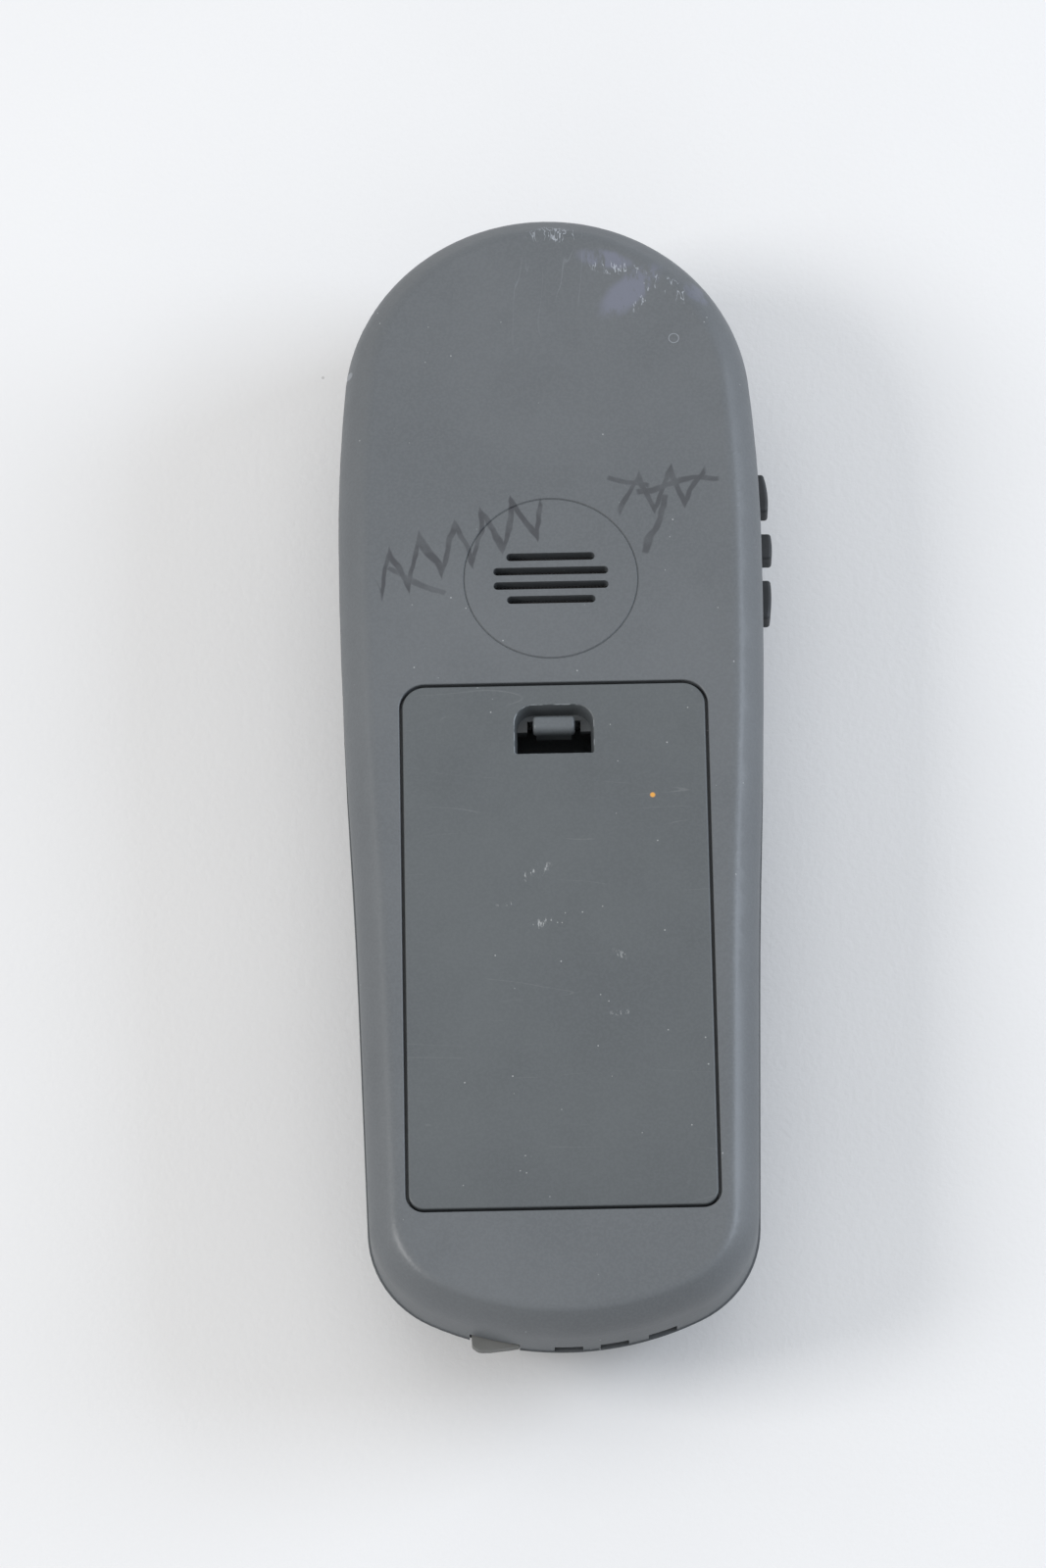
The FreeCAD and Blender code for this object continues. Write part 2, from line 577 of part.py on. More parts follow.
def ringer_mesh():
    return rod(0, RING_Y, 24.45, DEPTH - WALL - 0.05, 10.2)


def earpiece_receiver():
    return fuse(rod(0, EAR_Y, 3.6, 6.4, 8.6), rod(0, EAR_Y, 6.3, 8.4, 6.0))


def earpiece_mesh():
    return rod(0, EAR_Y, 2.9, 3.5, 8.0)


def microphone():
    return rod(0, MIC_Y, 4.0, 7.0, 3.0)


def microphone_boot():
    sleeve = rod(0, MIC_Y, 2.5, 8.6, 3.8)
    sleeve = sleeve.cut(rod(0, MIC_Y, 3.95, 7.05, 3.05))
    return sleeve.cut(rod(0, MIC_Y, 2, 4, 0.7))


def status_light():
    return fuse(rod(0, LED_Y, 0.35, 5.0, 0.95), rod(0, LED_Y, 2.2, 3.2, 1.7))


# ---- charging end ---------------------------------------------------------------------------------
def charge_contacts():
    """Three sprung strips: a face behind each window, a rounded nose and a foot on the board."""
    strips = []
    for x in CHARGE_X:
        wall = end_wall_y(x)
        face = wall + WALL + 0.3
        x0 = x - 1.3
        x1 = x + 1.3
        sill = CHARGE_LOW + 0.15
        foot = -67.8
        nose = Part.makeCylinder(0.5, x1 - x0, Vector(x0, face + 0.25, 17.35), Vector(1, 0, 0))
        nose = nose.cut(box(x0 - 1, x1 + 1, face + 0.4, face + 3, CHARGE_LOW, CHARGE_HIGH))
        strips.append(fuse(box(x0, x1, face, face + 0.4, sill, CHARGE_HIGH - 0.1), nose,
                           box(x0, x1, face, foot, sill, sill + 0.4),
                           box(x0, x1, foot - 0.4, foot, BOARD_HIGH + 0.05, sill + 0.4),
                           box(x0, x1, foot - 0.4, foot + 1.6, BOARD_HIGH + 0.05, BOARD_HIGH + 0.4)))
    return Part.makeCompound(strips)


def headset_jack():
    front = -75.9
    back = -65.7
    body = fuse(box(JACK_X - 2.9, JACK_X + 2.9, front, back, JACK_LOW + 0.1, JACK_HIGH - 0.1),
                box(JACK_X - 2.9, JACK_X + 2.9, -70.7, back, BOARD_HIGH + 0.05, JACK_LOW + 0.2))
    return body.cut(rod_y(JACK_X, JACK_Z, front - 1, back + 1.6, JACK_R))


def jack_cover():
    """Rubber cover, thicker at its free end, with a short plug for the jack's mouth."""
    x0 = JACK_X - JACK_W / 2 + 0.25
    x1 = COVER_PIVOT.x - 0.12
    z0 = JACK_LOW + 0.25
    z1 = JACK_HIGH - 0.4
    inner = -77.15
    wall = end_wall_y(x1) - 0.05
    free_end = -79.25
    round_r = 1.3
    face = [(x1, inner), (x1, wall), (x1 - 1.2, wall - 0.2), (x0 + 2.4, free_end)]
    for k in range(6):
        a = math.pi / 2 * k / 5
        face.append((x0 + round_r * (1 - math.sin(a)), free_end + round_r * (1 - math.cos(a))))
    face.append((x0, inner))
    slices = []
    for z, lean in ((z1, 0.0), (SEAM, 0.0), (z0, COVER_DRAFT * (SEAM - z0))):
        shrink = 1 - lean / (inner - free_end)
        points = [Vector(x, inner + (y - inner) * shrink, z) for x, y in face]
        slices.append(Part.makePolygon(points + points[:1]))
    slab = Part.makeLoft(slices, True, True)
    stub = rod_y(JACK_X, JACK_Z, inner - 0.3, -76.05, 1.1)
    return fuse(slab, stub)


# ---- battery --------------------------------------------------------------------------------------
CELL_R = 5.1
CELL_PITCH = 10.35
CELL_Y0 = -52.2
CELL_Y1 = -8.2
CELL_Z = BAY_FLOOR + 0.45 + CELL_R


def battery_cells():
    cells = []
    for k in (-1, 0, 1):
        x = k * CELL_PITCH
        can = rod_y(x, CELL_Z, CELL_Y0, CELL_Y1, CELL_R)
        can = can.makeFillet(0.6, can.Edges[0:1] + can.Edges[2:3])
        cells.append(fuse(can, rod_y(x, CELL_Z, CELL_Y1 - 0.1, CELL_Y1 + 0.8, 1.8)))
    return Part.makeCompound(cells)


def battery_wrap():
    """Shrunk sleeve round the three cells, open over the middle of each end."""
    t = 0.3
    r = CELL_R + t
    half = CELL_PITCH + r
    low = CELL_Y0 - t
    high = CELL_Y1 + t + 0.8
    outer = fuse(box(-CELL_PITCH, CELL_PITCH, low, high, CELL_Z - r, CELL_Z + r),
                 rod_y(-CELL_PITCH, CELL_Z, low, high, r), rod_y(CELL_PITCH, CELL_Z, low, high, r))
    gap = 0.05
    inner = [rod_y(k * CELL_PITCH, CELL_Z, CELL_Y0 - gap, CELL_Y1 + 0.85, CELL_R + gap) for k in (-1, 0, 1)]
    ends = box(-half + 3, half - 3, low - 1, high + 1, CELL_Z - 2.6, CELL_Z + 2.6)
    return outer.cut(Part.makeCompound(inner + [ends]))


def battery_terminal():
    """Plastic end piece of the pack with its three pads."""
    y0 = CELL_Y1 + 1.15
    return box(-12, 12, y0, y0 + 2.0, BAY_FLOOR + 0.3, BAY_FLOOR + 9.6)


def bay_contact_block():
    block = box(-9.0, 9.0, -3.4, -1.4, BAY_FLOOR + 0.02, BAY_FLOOR + 7.2)
    slots = [box(x - 1.3, x + 1.3, -4.2, -2.2, BAY_FLOOR + 1.2, BAY_FLOOR + 6.6) for x in (-5.4, 0.0, 5.4)]
    return block.cut(Part.makeCompound(slots))


def bay_contacts():
    springs = []
    for x in (-5.4, 0.0, 5.4):
        leaf = box(x - 1.0, x + 1.0, -2.7, -2.4, BAY_FLOOR + 1.4, BAY_FLOOR + 6.4)
        nose = Part.makeCylinder(1.9, 2.0, Vector(x - 1.0, -2.6, BAY_FLOOR + 4.2), Vector(1, 0, 0))
        nose = nose.cut(Part.makeCylinder(1.6, 2.0, Vector(x - 1.0, -2.6, BAY_FLOOR + 4.2), Vector(1, 0, 0)))
        springs.append(fuse(leaf, nose.cut(box(x - 3, x + 3, -2.45, 0, BAY_FLOOR, BAY_FLOOR + 9))))
    return Part.makeCompound(springs)


def battery_foam():
    """Soft pad under the door that keeps the pack from rattling."""
    return rounded_prism(20.0, 26.0, CELL_Z + CELL_R + 0.35, DEPTH - DOOR_T - 0.05, 1.0, 0, -30.2)


# ---- screws ---------------------------------------------------------------------------------------
def case_screws():
    screws = []
    for x, y in SCREWS:
        head = rod(x, y, BAY_FLOOR + 0.02, BAY_FLOOR + 1.4, 2.1)
        head = head.makeFillet(0.4, edges_at(head, BAY_FLOOR + 1.4))
        shank = rod(x, y, 5.6, BAY_FLOOR + 0.1, SCREW_R)
        drive = fuse(box(x - 1.1, x + 1.1, y - 0.22, y + 0.22, BAY_FLOOR + 0.7, BAY_FLOOR + 2),
                     box(x - 0.22, x + 0.22, y - 1.1, y + 1.1, BAY_FLOOR + 0.7, BAY_FLOOR + 2))
        screws.append(fuse(head, shank).cut(drive))
    return Part.makeCompound(screws)


# ---- all of it ------------------------------------------------------------------------------------
def build():
    parts = {
        "rear_shell": rear_shell(),
        "front_shell": front_shell(),
        "battery_door": battery_door(),
        "door_latch": door_latch(),
        "key_mat": key_mat(),
        "side_key_pad": side_key_pad(),
        "side_key_board": side_key_board(),
        "display_lens": display_lens(),
        "display_panel": display_panel(),
        "display_frame": display_frame(),
        "main_board": main_board(),
        "board_chips": board_chips(),
        "radio_shield": radio_shield(),
        "antenna": antenna(),
        "ringer_speaker": ringer_speaker(),
        "ringer_mesh": ringer_mesh(),
        "earpiece_receiver": earpiece_receiver(),
        "earpiece_mesh": earpiece_mesh(),
        "microphone": microphone(),
        "microphone_boot": microphone_boot(),
        "status_light": status_light(),
        "charge_contacts": charge_contacts(),
        "headset_jack": headset_jack(),
        "jack_cover": jack_cover(),
        "battery_cells": battery_cells(),
        "battery_wrap": battery_wrap(),
        "battery_terminal": battery_terminal(),
        "bay_contact_block": bay_contact_block(),
        "bay_contacts": bay_contacts(),
        "battery_foam": battery_foam(),
        "case_screws": case_screws(),
    }
    for name, (x, y, size) in key_places().items():
        parts[name] = scroll_key() if name == "scroll_key" else face_key(x, y, size)
    for name in SIDE_KEYS:
        parts[name] = side_key(name)
    return parts


def main():
    os.makedirs("parts", exist_ok=True)
    for name, shape in build().items():
        shape.exportStep(os.path.join("parts", name + ".step"))
        bb = shape.BoundBox
        print(f"{name:20s} solids {len(shape.Solids)} valid {shape.isValid()} volume {shape.Volume:9.1f}"
              f"  x {bb.XMin:7.2f} {bb.XMax:7.2f}  y {bb.YMin:7.2f} {bb.YMax:7.2f}"
              f"  z {bb.ZMin:6.2f} {bb.ZMax:6.2f}")


main()
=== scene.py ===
import bpy
import bmesh
import json
import math
from mathutils import Matrix, Vector


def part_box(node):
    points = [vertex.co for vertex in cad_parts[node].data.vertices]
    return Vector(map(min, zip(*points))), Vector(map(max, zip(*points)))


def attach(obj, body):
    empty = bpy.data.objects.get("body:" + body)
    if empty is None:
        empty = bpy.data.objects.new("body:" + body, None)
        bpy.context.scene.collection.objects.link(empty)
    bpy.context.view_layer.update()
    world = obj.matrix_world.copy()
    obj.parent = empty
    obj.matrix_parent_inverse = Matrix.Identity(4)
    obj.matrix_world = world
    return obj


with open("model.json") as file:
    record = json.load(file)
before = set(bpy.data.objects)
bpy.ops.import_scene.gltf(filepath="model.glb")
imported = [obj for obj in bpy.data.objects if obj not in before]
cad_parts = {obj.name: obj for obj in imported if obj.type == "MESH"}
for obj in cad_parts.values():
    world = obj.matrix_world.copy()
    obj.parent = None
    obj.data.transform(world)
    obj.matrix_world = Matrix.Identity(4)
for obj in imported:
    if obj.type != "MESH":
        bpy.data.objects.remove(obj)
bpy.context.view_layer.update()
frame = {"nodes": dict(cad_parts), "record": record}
nodes = frame["nodes"]
mm = 0.001
scene = bpy.context.scene
print("frame loaded:", len(nodes), "parts")


class Value:
    # one output socket of a node, with the arithmetic of a number

    def __init__(self, finish, socket):
        self.finish = finish
        self.socket = socket

    def math(self, operation, first, second=None):
        inputs = {0: first} if second is None else {0: first, 1: second}
        return self.finish.value("ShaderNodeMath", {"operation": operation}, inputs)

    def __add__(self, other):
        return self.math("ADD", self, other)

    def __radd__(self, other):
        return self.math("ADD", other, self)

    def __sub__(self, other):
        return self.math("SUBTRACT", self, other)

    def __rsub__(self, other):
        return self.math("SUBTRACT", other, self)

    def __mul__(self, other):
        return self.math("MULTIPLY", self, other)

    def __rmul__(self, other):
        return self.math("MULTIPLY", other, self)

    def __truediv__(self, other):
        return self.math("DIVIDE", self, other)

    def __rtruediv__(self, other):
        return self.math("DIVIDE", other, self)

    def __abs__(self):
        return self.math("ABSOLUTE", self)

    def most(self, other):
        return self.math("MAXIMUM", self, other)

    def wave(self):
        return self.math("SINE", self)

    def zigzag(self, height):
        return self.math("PINGPONG", self, height)

    def ramp(self, low, high, start=0.0, end=1.0):
        # 0 to 1 smoothly as the value goes from low to high
        settings = {"interpolation_type": "SMOOTHSTEP"}
        return self.finish.value("ShaderNodeMapRange", settings, {0: self, 1: low, 2: high, 3: start, 4: end})


class Finish:
    # one material: the fixed values sit on the shader's own sockets, the rest is linked

    def __init__(self, name, **fixed):
        self.material = bpy.data.materials.new(name)
        self.material.use_nodes = True
        self.tree = self.material.node_tree
        self.tree.nodes.clear()
        constants = {key.replace("_", " "): amount for key, amount in fixed.items()}
        self.shader = self.node("ShaderNodeBsdfPrincipled", None, constants)
        self.node("ShaderNodeOutputMaterial", None, {0: Value(self, self.shader.outputs[0])})
        self.place = None

    def node(self, kind, settings=None, sockets=None):
        made = self.tree.nodes.new(kind)
        for key, setting in (settings or {}).items():
            setattr(made, key, setting)
        for key, given in (sockets or {}).items():
            if isinstance(given, Value):
                self.tree.links.new(given.socket, made.inputs[key])
            else:
                made.inputs[key].default_value = given
        return made

    def value(self, kind, settings=None, sockets=None, output=0):
        return Value(self, self.node(kind, settings, sockets).outputs[output])

    def link(self, socketName, given):
        self.tree.links.new(given.socket, self.shader.inputs[socketName])

    def where(self):
        # the piece's own coordinates, in metres
        if self.place is None:
            self.place = self.value("ShaderNodeTexCoord", output="Object")
        return self.place

    def axes(self):
        parts = self.node("ShaderNodeSeparateXYZ", None, {0: self.where()})
        return [Value(self, parts.outputs[k]) / mm for k in range(3)]

    def noise(self, size, detail=3.0, stretch=(1, 1, 1), rough=0.5, turn=0.0, shift=0.0):
        # size is that of one blotch, in millimetres
        placed = self.value("ShaderNodeMapping", None, {
            "Vector": self.where(), "Location": (shift, shift * 0.7, 0.0), "Rotation": (0.0, 0.0, turn),
            "Scale": stretch})
        return self.value("ShaderNodeTexNoise", None, {
            "Vector": placed, "Scale": 1.0 / (size * mm), "Detail": detail, "Roughness": rough})

    def cells(self, size):
        # distance from the middle of the nearest cell
        sockets = {"Vector": self.where(), "Scale": 1.0 / (size * mm)}
        return self.value("ShaderNodeTexVoronoi", None, sockets, "Distance")

    def mix(self, factor, first, second):
        first, second = [c if isinstance(c, Value) else (*c, 1.0) for c in (first, second)]
        return self.value("ShaderNodeMix", {"data_type": "RGBA"}, {0: factor, 6: first, 7: second}, 2)

    def bump(self, height, depth, under=None):
        # depth in millimetres for a height that goes from 0 to 1
        sockets = {"Strength": 1.0, "Distance": depth * mm, "Height": height}
        if under is not None:
            sockets["Normal"] = under
        return self.value("ShaderNodeBump", None, sockets)

    def facing(self):
        # how far the surface faces up out of the back, -1 to 1
        normal = self.value("ShaderNodeTexCoord", output="Normal")
        return Value(self, self.node("ShaderNodeSeparateXYZ", None, {0: normal}).outputs[2])


def spot(x, y, atX, atY, sizeX, sizeY, turn=0.0):
    # 1 in the middle of a soft oval patch, 0 outside it; all in millimetres
    c = math.cos(turn)
    s = math.sin(turn)
    along = ((x - atX) * c + (y - atY) * s) / sizeX
    across = ((y - atY) * c - (x - atX) * s) / sizeY
    return (along * along + across * across).ramp(1.0, 0.25)


def spots(x, y, rows):
    # the strongest of several oval patches
    strongest = None
    for atX, atY, sizeX, sizeY, turn, strength in rows:
        patch = spot(x, y, atX, atY, sizeX, sizeY, turn) * strength
        strongest = patch if strongest is None else strongest.most(patch)
    return strongest


def stroke(x, y, look):
    # a zigzag drawn with a felt pen
    startX, startY = look["start"]
    c = math.cos(look["turn"])
    s = math.sin(look["turn"])
    along = (x - startX) * c + (y - startY) * s
    across = (y - startY) * c - (x - startX) * s
    slope = look["rise"] / look["pitch"]
    line = ((along + across * look["lean"]) * slope).zigzag(look["rise"]) - across
    line = abs(line) / math.hypot(1.0, slope)
    taper = 0.4
    inside = along.ramp(0.0, taper) * along.ramp(look["length"], look["length"] - taper)
    return line.ramp(look["width"], look["width"] * 0.55) * inside * look["strength"]


backFace = (25.6, 26.6)    # heights between which the marks fade in towards the back, mm

# two old felt-pen scribbles; lengths in mm, turn in radians
penStrokes = [
    {"start": (-22.5, 22.4), "turn": 0.40, "length": 25.0, "rise": 5.6, "pitch": 2.2,
     "width": 0.48, "lean": -0.30, "strength": 1.0},
    {"start": (9.0, 34.0), "turn": 0.12, "length": 12.5, "rise": 5.0, "pitch": 2.3,
     "width": 0.48, "lean": -0.25, "strength": 0.9},
    {"start": (12.4, 27.8), "turn": 1.15, "length": 9.5, "rise": 0.8, "pitch": 9.0,
     "width": 0.58, "lean": 0.0, "strength": 0.85},
    {"start": (11.5, 37.0), "turn": 0.10, "length": 11.5, "rise": 0.9, "pitch": 8.0,
     "width": 0.52, "lean": 0.0, "strength": 0.85},
    {"start": (-21.4, 26.6), "turn": -0.55, "length": 8.6, "rise": 0.7, "pitch": 9.0,
     "width": 0.50, "lean": 0.0, "strength": 0.7},
    {"start": (7.6, 39.4), "turn": -0.30, "length": 6.0, "rise": 0.6, "pitch": 7.0,
     "width": 0.50, "lean": 0.0, "strength": 0.8},
]

backWear = {
    "wobble": 2.4,         # how far noise bends the marks, mm
    "ink": (0.046, 0.049, 0.056),
    "inkStrength": 0.92,
    "smear": (0.165, 0.175, 0.225),
    "smearStrength": 0.75,
    "chalk": (0.50, 0.53, 0.58),
    "chalkStrength": 0.55,
    "bead": (17.1, 59.5),  # a small pale ring
    "nick": (-26.4, 56.2),
    # patches: x, y, two half sizes in mm, turn, strength
    "smears": [(11.2, 66.6, 6.4, 2.6, 0.75, 1.0), (8.3, 71.6, 4.2, 1.6, -0.3, 1.0),
               (20.4, 66.4, 2.4, 1.4, -0.8, 0.7)],
    "scratched": [(16.6, 67.2, 4.4, 1.2, -0.6, 1.0), (1.6, 75.4, 4.4, 1.4, 0.0, 1.0),
                  (9.5, 70.2, 4.0, 1.2, -0.2, 1.0), (13.2, 65.4, 3.6, 0.8, 0.8, 1.0)],
    "longScratches": [(-4.5, 65.0, 6.0, 8.0, 0.0, 1.0), (4.0, 69.0, 6.0, 5.0, 0.0, 1.0)],
}


def backMarks(finish, colour, rough, height, x, y, z):
    bend = backWear["wobble"]
    wx = x + (finish.noise(6.0, 2.0, shift=0.031) * bend - bend / 2)
    wy = y + finish.noise(5.0, 2.0, shift=0.057) * bend - bend / 2
    # the pen, half rubbed off
    ink = None
    for look in penStrokes:
        one = stroke(wx, wy, look)
        ink = one if ink is None else ink.most(one)
    ink = ink * finish.noise(3.2, 3.0, shift=0.077).ramp(0.34, 0.56, 0.62, 1.0) * z.ramp(*backFace)
    colour = finish.mix(ink * backWear["inkStrength"], colour, backWear["ink"])
    rough = rough - 0.10 * ink
    # bluish smears by the earpiece end
    torn = finish.noise(2.2, 4.0, (1.0, 0.45, 1.0), 0.65, 0.7, 0.11)
    smear = spots(wx, wy, backWear["smears"]) * torn.ramp(0.40, 0.55)
    colour = finish.mix(smear * backWear["smearStrength"], colour, backWear["smear"])
    rough = rough - 0.12 * smear
    # white scratches
    thin = finish.noise(1.5, 3.0, (1.0, 0.30, 1.0), 0.6, 0.5, 0.19)
    short = spots(wx, wy, backWear["scratched"]) * abs(thin - 0.5).ramp(0.020, 0.006)
    line = finish.noise(4.2, 2.0, (1.0, 0.16, 1.0), 0.5, -0.25, 0.23)
    longer = spots(x, y, backWear["longScratches"]) * abs(line - 0.5).ramp(0.006, 0.001)
    beadX, beadY = backWear["bead"]
    bead = abs(spot(x, y, beadX, beadY, 0.85, 0.85) - 0.5).ramp(0.35, 0.1)
    bead = bead * spot(x, y, beadX, beadY, 1.1, 1.1)
    chalk = short.most(longer * 0.16).most(bead * 0.6)
    colour = finish.mix(chalk * backWear["chalkStrength"], colour, backWear["chalk"])
    nick = spot(x, y, *backWear["nick"], 0.5, 0.7)
    colour = finish.mix(nick * 0.3, colour, backWear["chalk"])
    height = height - 0.9 * chalk - 1.4 * nick
    return colour, rough, height


doorWearAndPaintedLight = {
    "scuff": (0.52, 0.53, 0.53),
    "rust": (0.72, 0.34, 0.06),
    "rustSpot": (12.7, -6.5),
    "rustSize": 0.42,
    # colour of the painted shade towards the charging end
    "worn": (0.060, 0.066, 0.071),
    "paintedShadeFrom": (-48.0, -78.0),    # y over which painted shade darkens the door towards the charging end, mm
    "grime": (0.036, 0.040, 0.044),
    "pocketDepth": (26.75, 25.4),  # z over which painted shade darkens the finger pocket, mm
    # colour of the painted highlight on the pocket's rim
    "rim": (0.40, 0.43, 0.45),
    "rimHalfWidth": 6.0,           # the rim round the pocket, mm
    "rimLow": -1.6,
    "rimHigh": 7.4,
    # patches: x, y, two half sizes in mm, turn, strength
    "scuffs": [(-2.8, -17.1, 2.6, 1.0, 0.5, 1.0), (-6.6, -21.2, 1.7, 0.6, 0.2, 1.0),
               (-2.6, -24.4, 2.2, 0.8, 0.5, 1.0), (8.0, -28.7, 1.5, 0.5, -0.6, 0.6),
               (7.7, -36.8, 2.0, 0.5, 0.1, 0.6)],
}


def doorMarksAndPaintedLight(finish, colour, rough, height, x, y, z):
    onBack = z.ramp(*backFace)
    torn = finish.noise(0.8, 4.0, (1.0, 0.35, 1.0), 0.7, 0.95, 0.41)
    scuff = spots(x, y, doorWearAndPaintedLight["scuffs"]) * torn.ramp(0.54, 0.62) * onBack
    line = finish.noise(5.0, 1.0, (0.12, 1.0, 1.0), 0.5, 0.3, 0.37)
    hair = abs(line - 0.5).ramp(0.004, 0.001) * finish.noise(9.0, 2.0, shift=0.3).ramp(0.52, 0.60) * onBack
    colour = finish.mix(scuff * 0.62 + hair * 0.07, colour, doorWearAndPaintedLight["scuff"])
    rust = spot(x, y, *doorWearAndPaintedLight["rustSpot"], doorWearAndPaintedLight["rustSize"], doorWearAndPaintedLight["rustSize"]) * onBack
    colour = finish.mix(rust, colour, doorWearAndPaintedLight["rust"])
    # painted shade, darker towards the charging end and deep in the finger pocket
    colour = finish.mix(y.ramp(*doorWearAndPaintedLight["paintedShadeFrom"]) * 0.20, colour, doorWearAndPaintedLight["worn"])
    colour = finish.mix(z.ramp(*doorWearAndPaintedLight["pocketDepth"]) * 0.50, colour, doorWearAndPaintedLight["grime"])
    # a painted highlight along the pocket's rim
    fade = 0.2
    lipHighlight = z.ramp(26.76, 26.86) * z.ramp(26.99, 26.94)
    lipHighlight = lipHighlight * abs(x).ramp(doorWearAndPaintedLight["rimHalfWidth"], doorWearAndPaintedLight["rimHalfWidth"] - fade)
    lipHighlight = lipHighlight * y.ramp(doorWearAndPaintedLight["rimLow"], doorWearAndPaintedLight["rimLow"] + fade)
    lipHighlight = lipHighlight * y.ramp(doorWearAndPaintedLight["rimHigh"], doorWearAndPaintedLight["rimHigh"] - fade)
    lipHighlight = lipHighlight * finish.noise(1.1, 2.0, shift=0.6).ramp(0.44, 0.62)
    colour = finish.mix(lipHighlight * 0.6, colour, doorWearAndPaintedLight["rim"])
    return colour, rough + 0.08 * scuff, height - 0.5 * scuff


caseTones = {
    "rear": ((0.120, 0.129, 0.137), (0.107, 0.116, 0.124)),
    "front": ((0.122, 0.131, 0.139), (0.109, 0.118, 0.126)),
    "door": ((0.098, 0.108, 0.113), (0.087, 0.096, 0.102)),
    "latch": ((0.112, 0.124, 0.133), (0.094, 0.104, 0.112)),
}
grain = {
    "size": 0.34,          # of the moulded grain, mm
    "depth": 0.035,
    "mottle": 26.0,        # size of the slow light and dark areas
    "patch": 7.0,          # size of the rubbed patches
    "waves": 5.0,          # slow unevenness of the surface
    "waveDepth": 0.012,
    "rough": 0.42,
    "dust": 1.6,           # spacing of the dust specks
    "dustTone": (0.55, 0.56, 0.56),
}


def caseFinish(name, tones, marks=None):
    # grey moulded plastic: fine grain, slow mottling, worn smooth where hands touch it; the rounded crease is
    # painted lighter, partly as rub wear and partly as a painted highlight
    finish = Finish(name, Specular_IOR_Level=0.5, IOR=1.5)
    tone, dark = tones
    x, y, z = finish.axes()
    fine = finish.noise(grain["size"], 2.0)
    coarse = finish.noise(grain["size"] * 3.1, 2.0, shift=0.013)
    slow = finish.noise(grain["mottle"], 3.0, shift=0.004)
    patch = finish.noise(grain["patch"], 4.0, rough=0.6, shift=0.021)
    facing = finish.facing()
    # the rounded crease between the flat back and the sides, painted lighter below: partly rub wear, partly a
    # painted highlight
    edge = facing.ramp(0.70, 0.86) * facing.ramp(0.995, 0.94)
    colour = finish.mix(slow.ramp(0.35, 0.7), tone, dark)
    colour = finish.mix(patch.ramp(0.45, 0.75) * 0.35, colour, [c * 0.86 for c in tone])
    colour = finish.mix(fine.ramp(0.40, 0.62) * 0.22, colour, [c * 1.30 for c in tone])
    colour = finish.mix(edge * (0.12 + 0.30 * coarse), colour, [c * 1.22 for c in tone])
    # dust and tiny nicks
    dusty = finish.noise(3.3, 2.0, shift=0.05).ramp(0.56, 0.62)
    speck = finish.cells(grain["dust"]).ramp(0.085, 0.04) * dusty
    colour = finish.mix(speck * 0.55, colour, grain["dustTone"])
    rough = grain["rough"] + 0.10 * patch - 0.10 * edge + 0.06 * fine
    height = fine * 0.7 + coarse * 0.5 + speck * 0.6
    if marks is not None:
        colour, rough, height = marks(finish, colour, rough, height, x, y, z)
    wavy = finish.bump(finish.noise(grain["waves"], 2.0, shift=0.09), grain["waveDepth"])
    finish.link("Base Color", colour)
    finish.link("Roughness", rough)
    finish.link("Normal", finish.bump(height, grain["depth"], wavy))
    return finish.material


def rubberFinish(name, tone, dark, grainSize=0.22, rough=0.68):
    # rubber or dull moulded plastic with a little lint
    finish = Finish(name, Specular_IOR_Level=0.35)
    fine = finish.noise(grainSize, 3.0)
    slow = finish.noise(4.0, 3.0, shift=0.02)
    lint = finish.cells(0.8).ramp(0.10, 0.04) * finish.noise(2.0, 1.0, shift=0.4).ramp(0.57, 0.62)
    colour = finish.mix(slow.ramp(0.35, 0.7), tone, dark)
    colour = finish.mix(lint * 0.4, colour, (0.42, 0.42, 0.41))
    finish.link("Base Color", colour)
    finish.link("Roughness", rough + 0.14 * slow - 0.05 * fine)
    finish.link("Normal", finish.bump(fine * 0.8 + slow, 0.03))
    return finish.material


def metalFinish(name, tone, stain, rough=0.28, brush=(1.0, 0.08, 1.0)):
    finish = Finish(name, Metallic=1.0)
    lines = finish.noise(0.30, 3.0, brush)
    cloud = finish.noise(3.0, 4.0, rough=0.6, shift=0.07)
    colour = finish.mix(cloud.ramp(0.50, 0.78), tone, stain)
    finish.link("Base Color", finish.mix(lines * 0.25, colour, [c * 0.7 for c in tone]))
    finish.link("Roughness", rough + 0.20 * lines + 0.14 * cloud)
    finish.link("Normal", finish.bump(lines, 0.006))
    return finish.material


def boardFinish(name):
    # solder mask over copper tracks, with plated holes
    finish = Finish(name, Specular_IOR_Level=0.5)
    x, y = finish.axes()[:2]
    tracks = abs((x * 1.7 + (y * 0.35).wave() * 0.8).wave()).ramp(0.25, 0.12)
    across = abs((y * 1.3).wave()).ramp(0.14, 0.06) * finish.noise(6.0, 1.0).ramp(0.52, 0.54)
    hole = finish.cells(2.6).ramp(0.16, 0.12)
    copper = tracks.most(across)
    colour = finish.mix(copper * 0.6, (0.010, 0.085, 0.035), (0.030, 0.190, 0.075))
    colour = finish.mix(hole, colour, (0.62, 0.56, 0.38))
    finish.link("Base Color", colour)
    finish.link("Metallic", hole * 0.9)
    finish.link("Roughness", 0.34 + 0.12 * finish.noise(0.8, 2.0))
    finish.link("Normal", finish.bump(copper + hole, 0.03))
    return finish.material


